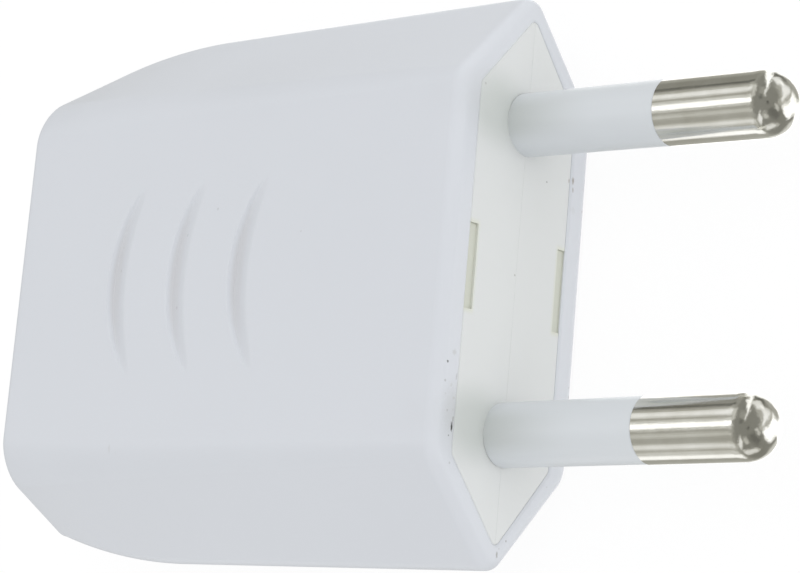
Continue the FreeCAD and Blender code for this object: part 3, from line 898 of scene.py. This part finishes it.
def turned_piece(name, side, outline):
    """Turns an outline of (along, radius) steps about X, then sets it on the axis of its pin."""
    piece = start_piece(name)
    along, radius = outline[0]
    bpy.ops.mesh.primitive_circle_add(
        vertices=turned_sides, radius=radius, location=(along, 0.0, 0.0), rotation=(0.0, math.pi / 2, 0.0)
    )
    for (last_along, last_radius), (along, radius) in zip(outline, outline[1:]):
        bpy.ops.mesh.extrude_edges_move(TRANSFORM_OT_translate={"value": (along - last_along, 0.0, 0.0)})
        share = radius / last_radius
        bpy.ops.transform.resize(value=(1.0, share, share), center_override=(along, 0.0, 0.0))
    bpy.ops.mesh.select_all(action="SELECT")
    bpy.ops.mesh.remove_doubles(threshold=0.0005)
    bpy.ops.mesh.normals_make_consistent(inside=False)
    bpy.ops.object.mode_set(mode="OBJECT")
    piece.rotation_euler = (0.0, 0.0, -side * pin_lean)
    piece.location = (0.0, side * pin_half_pitch, 0.0)
    bpy.ops.object.transform_apply(location=True, rotation=True, scale=True)
    return piece


for name, side in (("right_sleeve", 1), ("left_sleeve", -1)):
    outline = [
        (-sleeve_root, sleeve_bore),
        (-sleeve_root, sleeve_root_radius),
        (sleeve_foot, sleeve_root_radius),
        (sleeve_foot, sleeve_radius),
        (sleeve_length - sleeve_edge, sleeve_radius),
        (sleeve_length - sleeve_edge * 0.3, sleeve_radius - sleeve_edge * 0.3),
        (sleeve_length, sleeve_radius - sleeve_edge),
        (sleeve_length, sleeve_bore),
        (-sleeve_root, sleeve_bore),
    ]
    sleeve = turned_piece(name + "_moulding", side, outline)
    finish_piece(sleeve)
    sleeve.data.materials.append(sleeve_plastic)
    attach(sleeve, "root")
    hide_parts(name)


# Pins: turned from brass bar and nickel plated, with a domed tip and a neck under the sleeve.
# Behind the sleeve a collar and a peened tail hold the pin in the carriers and in its contact.
pin_radius = 2.0
pin_length = 19.0
pin_tip_flat = 0.12
neck_radius = 1.5
collar_radius = 2.6
collar_front = -2.01
collar_rear = -3.5
shank_radius = 1.8
shank_end = -11.9
tail_radius = 1.1
peen_under = -12.64
peen_radius = 1.45
peen_shoulder = -13.1
peen_end = -13.46
peen_flat = 1.0
on_axis = 0.001
metal_start = sleeve_length + 0.01
metal_chamfer = 0.03
dome_steps = 24
ripple_from = (0.0168, 0.0173)
ripple_strength = (0.05, 0.8)
grain_along = 260.0
grain_round = 20.0
grain_deep = 9000.0


def graded(tree, value, low, high):
    """A colour picked between two stops, each of them a position and a colour."""
    made = tree.nodes.new("ShaderNodeValToRGB")
    for stop, (position, colour) in zip(made.color_ramp.elements, (low, high)):
        stop.position = position
        stop.color = colour
    tree.links.new(value, made.inputs[0])
    return made.outputs[0]


pin_metal, tree, shader = new_material("pin_metal")
shader.inputs["Metallic"].default_value = 1.0
place = object_axes(tree)
drift = sums(tree, "MULTIPLY_ADD", place["X"], math.tan(pin_lean), -pin_half_pitch * MILLIMETRE)
across = sums(tree, "ADD", sums(tree, "ABSOLUTE", place["Y"]), drift)
turn = sums(tree, "ARCTAN2", place["Z"], across)
radius = sums(tree, "MULTIPLY_ADD", across, across, sums(tree, "POWER", place["Z"], 2.0))
radius = sums(tree, "SQRT", radius)
grain_place = node(tree, "ShaderNodeCombineXYZ")
tree.links.new(sums(tree, "MULTIPLY", place["X"], grain_along), grain_place.inputs["X"])
tree.links.new(sums(tree, "MULTIPLY", turn, grain_round), grain_place.inputs["Y"])
tree.links.new(sums(tree, "MULTIPLY", radius, grain_deep), grain_place.inputs["Z"])
drawn = node(
    tree, "ShaderNodeTexNoise", Vector=grain_place.outputs[0], Scale=1.0, Detail=5.0, Roughness=0.7
)
tarnish = node(tree, "ShaderNodeTexNoise", Vector=object_place(tree), Scale=520.0, Detail=6.0)
plating = graded(
    tree, tarnish.outputs[0], (0.3, (0.66, 0.65, 0.60, 1.0)), (0.72, (0.76, 0.755, 0.72, 1.0))
)
tree.links.new(plating, shader.inputs["Base Color"])
polish = sums(tree, "MULTIPLY_ADD", drawn.outputs[0], 0.1, 0.02)
tree.links.new(polish, shader.inputs["Roughness"])
relief = node(tree, "ShaderNodeBump", Strength=0.5, Distance=0.000008)
tree.links.new(drawn.outputs[0], relief.inputs["Height"])
ripple = node(tree, "ShaderNodeTexNoise", Vector=object_place(tree), Scale=2500.0, Detail=2.0)
uneven = node(tree, "ShaderNodeBump", Distance=0.00002)
on_dome = ramp(tree, place["X"], *ripple_from, *ripple_strength)
tree.links.new(on_dome, uneven.inputs["Strength"])
tree.links.new(ripple.outputs[0], uneven.inputs["Height"])
tree.links.new(uneven.outputs[0], relief.inputs["Normal"])
tree.links.new(relief.outputs[0], shader.inputs["Normal"])
for name, side in (("right_pin", 1), ("left_pin", -1)):
    dome = pin_radius - pin_tip_flat
    outline = [
        (peen_end, on_axis),
        (peen_end, peen_flat),
        (peen_shoulder, peen_radius),
        (peen_under, peen_radius),
        (peen_under, tail_radius),
        (shank_end, tail_radius),
        (shank_end, shank_radius),
        (collar_rear, shank_radius),
        (collar_rear, collar_radius),
        (collar_front, collar_radius),
        (collar_front, neck_radius),
        (metal_start, neck_radius),
        (metal_start, pin_radius - metal_chamfer),
        (metal_start + metal_chamfer, pin_radius),
    ]
    for step in range(dome_steps + 1):
        turned = math.pi / 2 * step / dome_steps
        outline.append(
            (pin_length - dome + dome * math.sin(turned), pin_tip_flat + dome * math.cos(turned))
        )
    outline.append((pin_length, on_axis))
    pin = turned_piece(name + "_turned", side, outline)
    finish_piece(pin)
    pin.data.materials.append(pin_metal)
    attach(pin, "root")
    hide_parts(name)


# Contacts: one folded brass strip behind each blade slot, held by the peened tail of its pin.
# They keep the solids of the source, since little of them shows through the slots.
contact_metal, tree, shader = new_material("contact_metal")
shader.inputs["Metallic"].default_value = 1.0
rolled_place = node(tree, "ShaderNodeMapping", Vector=object_place(tree))
rolled_place.inputs["Scale"].default_value = (60.0, 1800.0, 1800.0)
rolled = node(tree, "ShaderNodeTexNoise", Vector=rolled_place.outputs[0], Scale=1.0, Detail=4.0)
strip_tone = graded(
    tree, rolled.outputs[0], (0.3, (0.52, 0.37, 0.15, 1.0)), (0.7, (0.70, 0.53, 0.25, 1.0))
)
tree.links.new(strip_tone, shader.inputs["Base Color"])
tree.links.new(sums(tree, "MULTIPLY_ADD", rolled.outputs[0], 0.2, 0.22), shader.inputs["Roughness"])
for name in ("right_contact", "left_contact"):
    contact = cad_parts[name]
    contact.data.materials.clear()
    contact.data.materials.append(contact_metal)


# Floor: a plain pale sheet that the part lies on, white to the camera but for the part's shadow.
# It glows to every ray too, which lights the part from below, and gloss sees straight through it.
floor_gap = 0.00002
glow_to_camera = 0.47
glow_to_all = 0.4
floor_at = shell_low.z - floor_gap
bpy.ops.object.select_all(action="DESELECT")
bpy.ops.mesh.primitive_plane_add(size=4.0, location=(0.0, 0.0, floor_at))
floor = bpy.context.active_object
floor.name = "floor"
floor_sheet, tree, shader = new_material("floor_sheet")
shader.inputs["Roughness"].default_value = 0.9
shader.inputs["Specular IOR Level"].default_value = 0.0
paper = node(tree, "ShaderNodeTexNoise", Vector=object_place(tree), Scale=300.0, Detail=3.0)
paper_tone = graded(
    tree, paper.outputs[0], (0.0, (0.88, 0.88, 0.88, 1.0)), (1.0, (0.91, 0.91, 0.91, 1.0))
)
tree.links.new(paper_tone, shader.inputs["Base Color"])


def blended(tree, share, first, second):
    """The first shader where the share is 0 and the second where it is 1."""
    made = tree.nodes.new("ShaderNodeMixShader")
    for value, socket in zip((share, first, second), made.inputs):
        tree.links.new(value, socket)
    return made.outputs[0]


path = node(tree, "ShaderNodeLightPath")
glow = node(tree, "ShaderNodeEmission", Color=(1.0, 1.0, 1.0, 1.0), Strength=1.03)
glowing = sums(tree, "MULTIPLY_ADD", path.outputs["Is Camera Ray"], glow_to_camera, glow_to_all)
whitened = blended(tree, glowing, shader.outputs[0], glow.outputs[0])
clear = node(tree, "ShaderNodeBsdfTransparent")
by_gloss = blended(tree, path.outputs["Is Glossy Ray"], whitened, clear.outputs[0])
tree.links.new(by_gloss, tree.nodes["Material Output"].inputs["Surface"])
floor.data.materials.append(floor_sheet)

# Studio light: an even white tent, with the bright sheets and dark gaps that only gloss picks up.
# Each sheet is placed by its roll about the pins and by its lean away from where they point. The
# sheets were set to give the metal its bands, so the metal doesn't mirror the white floor.
world = bpy.data.worlds.new("studio")
bpy.context.scene.world = world
world.use_nodes = True
tree = world.node_tree
tree.nodes.clear()

sheet_values = ("Roll centre", "Roll half", "Lean centre", "Lean half", "Slant", "Soft", "Strength")
softbox, given, gives = new_group(
    "softbox",
    {label: "Float" for label in ("Roll", "Lean") + sheet_values},
    {"Light": "Float"},
)


def window(value, centre, half):
    """1 within half a width of the centre, falling softly to 0 outside it."""
    away = sums(softbox, "WRAP", sums(softbox, "SUBTRACT", value, centre), 180.0, -180.0)
    away = sums(softbox, "ABSOLUTE", away)
    soft = given.outputs["Soft"]
    return ramp(
        softbox, away, sums(softbox, "SUBTRACT", half, soft), sums(softbox, "ADD", half, soft), 1.0, 0.0
    )


down = sums(softbox, "SUBTRACT", given.outputs["Lean"], given.outputs["Lean centre"])
middle = sums(softbox, "MULTIPLY_ADD", down, given.outputs["Slant"], given.outputs["Roll centre"])
in_roll = window(given.outputs["Roll"], middle, given.outputs["Roll half"])
in_lean = window(given.outputs["Lean"], given.outputs["Lean centre"], given.outputs["Lean half"])
lit = sums(softbox, "MULTIPLY", sums(softbox, "MULTIPLY", in_roll, in_lean), given.outputs["Strength"])
softbox.links.new(lit, gives.inputs["Light"])

parts = node(tree, "ShaderNodeSeparateXYZ", Vector=node(tree, "ShaderNodeTexCoord").outputs["Generated"])
roll = sums(tree, "DEGREES", sums(tree, "ARCTAN2", parts.outputs["Y"], parts.outputs["Z"]))
lean = sums(tree, "DEGREES", sums(tree, "ARCCOSINE", parts.outputs["X"]))
level = ramp(tree, lean, 92.0, 112.0, 0.29, 0.47)
sheets = [
    # roll centre, roll half, lean centre, lean half, slant, soft, strength
    (-163.0, 32.0, 36.0, 23.0, -0.9, 3.5, 1.3),
    (0.0, 180.0, 0.0, 12.0, 0.0, 6.0, 0.3),
    (92.0, 12.0, 86.0, 24.0, 1.5, 4.0, 1.2),
    (98.0, 15.0, 62.0, 13.0, 0.0, 5.0, 0.75),
    (152.0, 33.0, 110.0, 23.0, 0.0, 4.0, 1.2),
    (155.0, 28.0, 75.0, 12.0, 0.0, 6.0, 0.2),
    (122.0, 20.0, 30.0, 24.0, 0.0, 9.0, 0.6),
    (125.0, 55.0, 25.0, 28.0, 0.0, 12.0, 0.24),
    (-168.0, 14.0, 98.0, 22.0, 0.0, 6.0, 0.5),
    (-13.0, 5.0, 49.0, 4.0, 0.0, 1.5, -0.22),
    (176.0, 11.0, 72.0, 17.0, 0.0, 3.0, 1.2),
    (30.0, 20.0, 98.0, 5.0, 0.0, 3.0, 0.4),
    (-75.0, 30.0, 42.0, 12.0, 0.0, 8.0, -0.1),
    (116.0, 9.0, 80.0, 14.0, 0.0, 5.0, -0.1),
    (25.0, 25.0, 73.0, 6.0, 0.0, 4.0, -0.1),
    (36.0, 22.0, 60.0, 3.0, 0.0, 3.0, 0.7),
    (30.0, 14.0, 72.0, 8.0, 0.0, 5.0, 0.2),
    (-60.0, 12.0, 68.0, 5.0, 0.0, 5.0, 0.4),
    (-62.0, 13.0, 88.0, 9.0, -1.4, 4.0, 0.75),
    (-105.0, 12.0, 80.0, 15.0, 0.3, 5.0, 0.65),
    (-55.0, 30.0, 23.0, 4.0, 0.0, 3.0, 0.5),
    (1.5, 8.3, 126.0, 22.0, 0.0, 2.0, 1.2),
    (15.5, 4.0, 126.0, 20.0, 0.0, 2.5, 0.36),
    (39.0, 9.0, 126.0, 20.0, 0.0, 6.0, 0.6),
    (66.0, 5.0, 126.0, 20.0, 0.0, 3.5, -0.3),
    (86.0, 14.0, 126.0, 20.0, 0.0, 6.0, -0.14),
    (-12.0, 3.0, 126.0, 20.0, 0.0, 1.5, 0.27),
    (-31.0, 6.0, 126.0, 20.0, 0.0, 5.0, 0.22),
    (-70.0, 9.0, 126.0, 20.0, 0.0, 8.0, 0.5),
    (-97.0, 8.0, 126.0, 20.0, 0.0, 5.0, 0.3),
    (-116.0, 10.0, 126.0, 20.0, 0.0, 3.0, 0.9),
]
for numbers in sheets:
    values = {label.replace(" ", "_"): number for label, number in zip(sheet_values, numbers)}
    level = sums(tree, "ADD", level, use_group(tree, softbox, Roll=roll, Lean=lean, **values)["Light"])
tent_below = 1.0
tent_above = 0.755
front_from = -0.2
front_light = 0.28
back_from = -0.1
back_light = 0.09
metal_dim = (1.0, 0.99, 0.89, 1.0)
metal_bright = (1.0, 1.0, 0.995, 1.0)
path = node(tree, "ShaderNodeLightPath")
front = sums(tree, "MULTIPLY", ramp(tree, parts.outputs["X"], front_from, 1.0), front_light)
back = sums(tree, "MULTIPLY", ramp(tree, parts.outputs["Y"], back_from, 1.0), back_light)
overhead = ramp(tree, parts.outputs["Z"], 0.0, 1.0, tent_below, tent_above)
tent_level = sums(tree, "ADD", overhead, sums(tree, "ADD", front, back))
tent = node(tree, "ShaderNodeBackground", Color=(0.985, 0.99, 1.0, 1.0), Strength=tent_level)
mirrored_tone = mixed(tree, ramp(tree, level, 0.3, 1.2), metal_dim, metal_bright)
mirrored = node(tree, "ShaderNodeBackground", Color=mirrored_tone, Strength=level)
white = node(tree, "ShaderNodeBackground", Color=(1.0, 1.0, 1.0, 1.0), Strength=1.0)
by_gloss = blended(tree, path.outputs["Is Glossy Ray"], tent.outputs[0], mirrored.outputs[0])
by_camera = blended(tree, path.outputs["Is Camera Ray"], by_gloss, white.outputs[0])
output = node(tree, "ShaderNodeOutputWorld")
tree.links.new(by_camera, output.inputs["Surface"])

window_light = bpy.data.lights.new("window_light", "AREA")
window_light.shape = "SQUARE"
window_light.size = 0.4
window_light.energy = 0.25
window_pane = bpy.data.objects.new("window_light", window_light)
bpy.context.scene.collection.objects.link(window_pane)
window_pane.location = (0.1, 0.12, 0.5)
window_pane.rotation_euler = (-window_pane.location).to_track_quat("-Z", "Y").to_euler()
window_pane.visible_glossy = False
